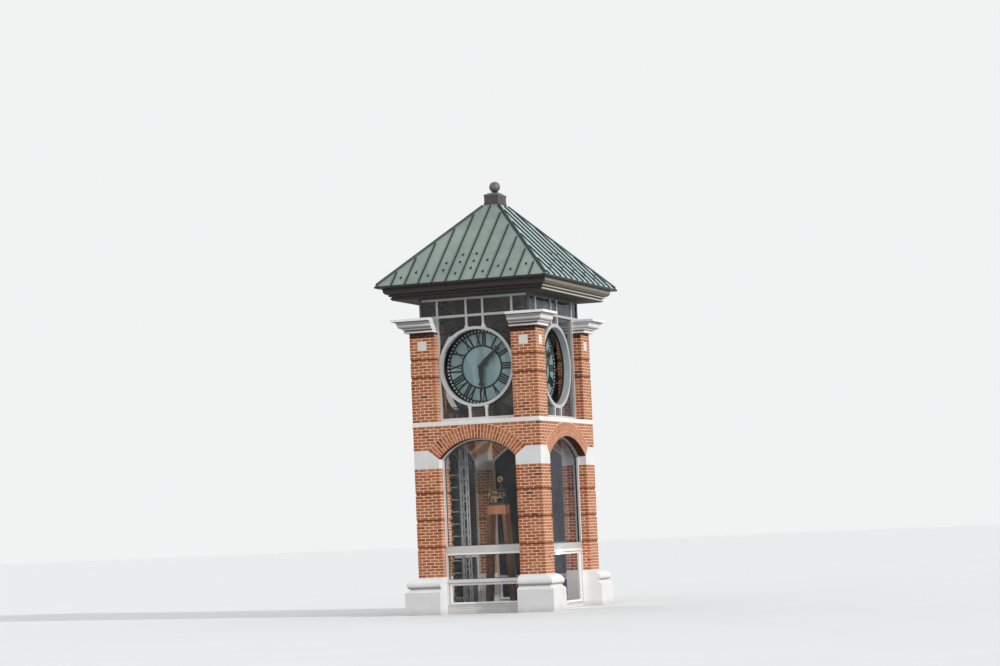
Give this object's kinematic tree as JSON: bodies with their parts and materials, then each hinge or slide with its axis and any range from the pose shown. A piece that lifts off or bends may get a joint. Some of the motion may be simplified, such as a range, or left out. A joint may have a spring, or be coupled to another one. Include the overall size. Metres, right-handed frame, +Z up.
{
  "type": "clock tower",
  "caption": "Brick clock tower with glazed arched openings, skeleton dials set in drums, a glazed lantern storey and a hipped metal roof with a ball on top.",
  "frame": {"origin": "centre of the tower's plan at ground level", "axes": "+X to the right along the front, +Y into the depth, +Z up; the front dial faces -Y"},
  "size_m": [4.1758, 4.9922, 9.891],
  "materials": {
    "cast_stone": "matt cast stone",
    "white_stone": "smooth white stone",
    "brick": "red facing brick",
    "aluminium": "satin anodised",
    "window_glass": "clear",
    "opal_glass": "opal",
    "dial_black": "satin black",
    "hand_black": "satin black",
    "steel": "mill finish",
    "soffit_board": "satin",
    "bronze_metal": "satin bronze",
    "roof_metal": "satin green",
    "vent_metal": "satin brown",
    "ball_metal": "weathered grey",
    "timber": "oiled",
    "cast_iron": "satin dark green",
    "brass": "polished",
    "ladder_metal": "mill finish",
    "concrete": "trowelled"
  },
  "bodies": {
    "tower": {"plinths": "cast_stone", "lower_piers": "brick", "imposts": "cast_stone", "arches": "brick", "spandrels": "brick", "belt_course": "cast_stone", "upper_piers": "brick", "inset_stones": "white_stone", "pier_caps": "cast_stone", "lower_frame_front": "aluminium", "lower_frame_right": "aluminium", "lower_frame_rear": "aluminium", "lower_frame_left": "aluminium", "lower_glass": "window_glass", "upper_frame_front": "aluminium", "upper_frame_right": "aluminium", "upper_frame_rear": "aluminium", "upper_frame_left": "aluminium", "upper_glass": "window_glass", "side_glass": "window_glass", "drum_front": "aluminium", "drum_right": "aluminium", "drum_rear": "aluminium", "drum_left": "aluminium", "dial_front": "dial_black", "dial_right": "dial_black", "dial_rear": "dial_black", "dial_left": "dial_black", "dial_glass": "opal_glass", "dial_bridges": "steel", "lantern_frame": "aluminium", "lantern_glass": "window_glass", "soffit": "soffit_board", "eaves_box": "bronze_metal", "roof_deck": "roof_metal", "roof_seams": "roof_metal", "hip_caps": "roof_metal", "vent_box": "vent_metal", "vent_lid": "roof_metal", "ball": "ball_metal", "floor_slab": "concrete", "movement_stand": "timber", "movement_frame": "cast_iron", "movement_train": "brass", "ladder": "ladder_metal", "lattice_mast": "aluminium"},
    "minute_hand_front": {"minute_hand_front": "hand_black"},
    "hour_hand_front": {"hour_hand_front": "hand_black"},
    "minute_hand_right": {"minute_hand_right": "hand_black"},
    "hour_hand_right": {"hour_hand_right": "hand_black"},
    "minute_hand_rear": {"minute_hand_rear": "hand_black"},
    "hour_hand_rear": {"hour_hand_rear": "hand_black"},
    "minute_hand_left": {"minute_hand_left": "hand_black"},
    "hour_hand_left": {"hour_hand_left": "hand_black"}
  },
  "joints": [
    {"name": "minute_hand_front_turn", "type": "hinge", "parent": "tower", "child": "minute_hand_front", "pos_m": [0, -1.396, 5.5215], "axis": [0, 1, 0], "continuous": true},
    {"name": "hour_hand_front_turn", "type": "hinge", "parent": "tower", "child": "hour_hand_front", "pos_m": [0, -1.396, 5.5215], "axis": [0, 1, 0], "continuous": true},
    {"name": "minute_hand_right_turn", "type": "hinge", "parent": "tower", "child": "minute_hand_right", "pos_m": [1.086, 0, 5.5215], "axis": [-1, 0, 0], "continuous": true},
    {"name": "hour_hand_right_turn", "type": "hinge", "parent": "tower", "child": "hour_hand_right", "pos_m": [1.086, 0, 5.5215], "axis": [-1, 0, 0], "continuous": true},
    {"name": "minute_hand_rear_turn", "type": "hinge", "parent": "tower", "child": "minute_hand_rear", "pos_m": [0, 1.396, 5.5215], "axis": [0, -1, 0], "continuous": true},
    {"name": "hour_hand_rear_turn", "type": "hinge", "parent": "tower", "child": "hour_hand_rear", "pos_m": [0, 1.396, 5.5215], "axis": [0, -1, 0], "continuous": true},
    {"name": "minute_hand_left_turn", "type": "hinge", "parent": "tower", "child": "minute_hand_left", "pos_m": [-1.086, 0, 5.5215], "axis": [1, 0, 0], "continuous": true},
    {"name": "hour_hand_left_turn", "type": "hinge", "parent": "tower", "child": "hour_hand_left", "pos_m": [-1.086, 0, 5.5215], "axis": [1, 0, 0], "continuous": true}
  ],
  "couplings": [
    {"joint": "hour_hand_front_turn", "follows": "minute_hand_front_turn", "ratio": 0.083333},
    {"joint": "minute_hand_right_turn", "follows": "minute_hand_front_turn", "ratio": 1},
    {"joint": "hour_hand_right_turn", "follows": "minute_hand_front_turn", "ratio": 0.083333},
    {"joint": "minute_hand_rear_turn", "follows": "minute_hand_front_turn", "ratio": 1},
    {"joint": "hour_hand_rear_turn", "follows": "minute_hand_front_turn", "ratio": 0.083333},
    {"joint": "minute_hand_left_turn", "follows": "minute_hand_front_turn", "ratio": 1},
    {"joint": "hour_hand_left_turn", "follows": "minute_hand_front_turn", "ratio": 0.083333}
  ]
}
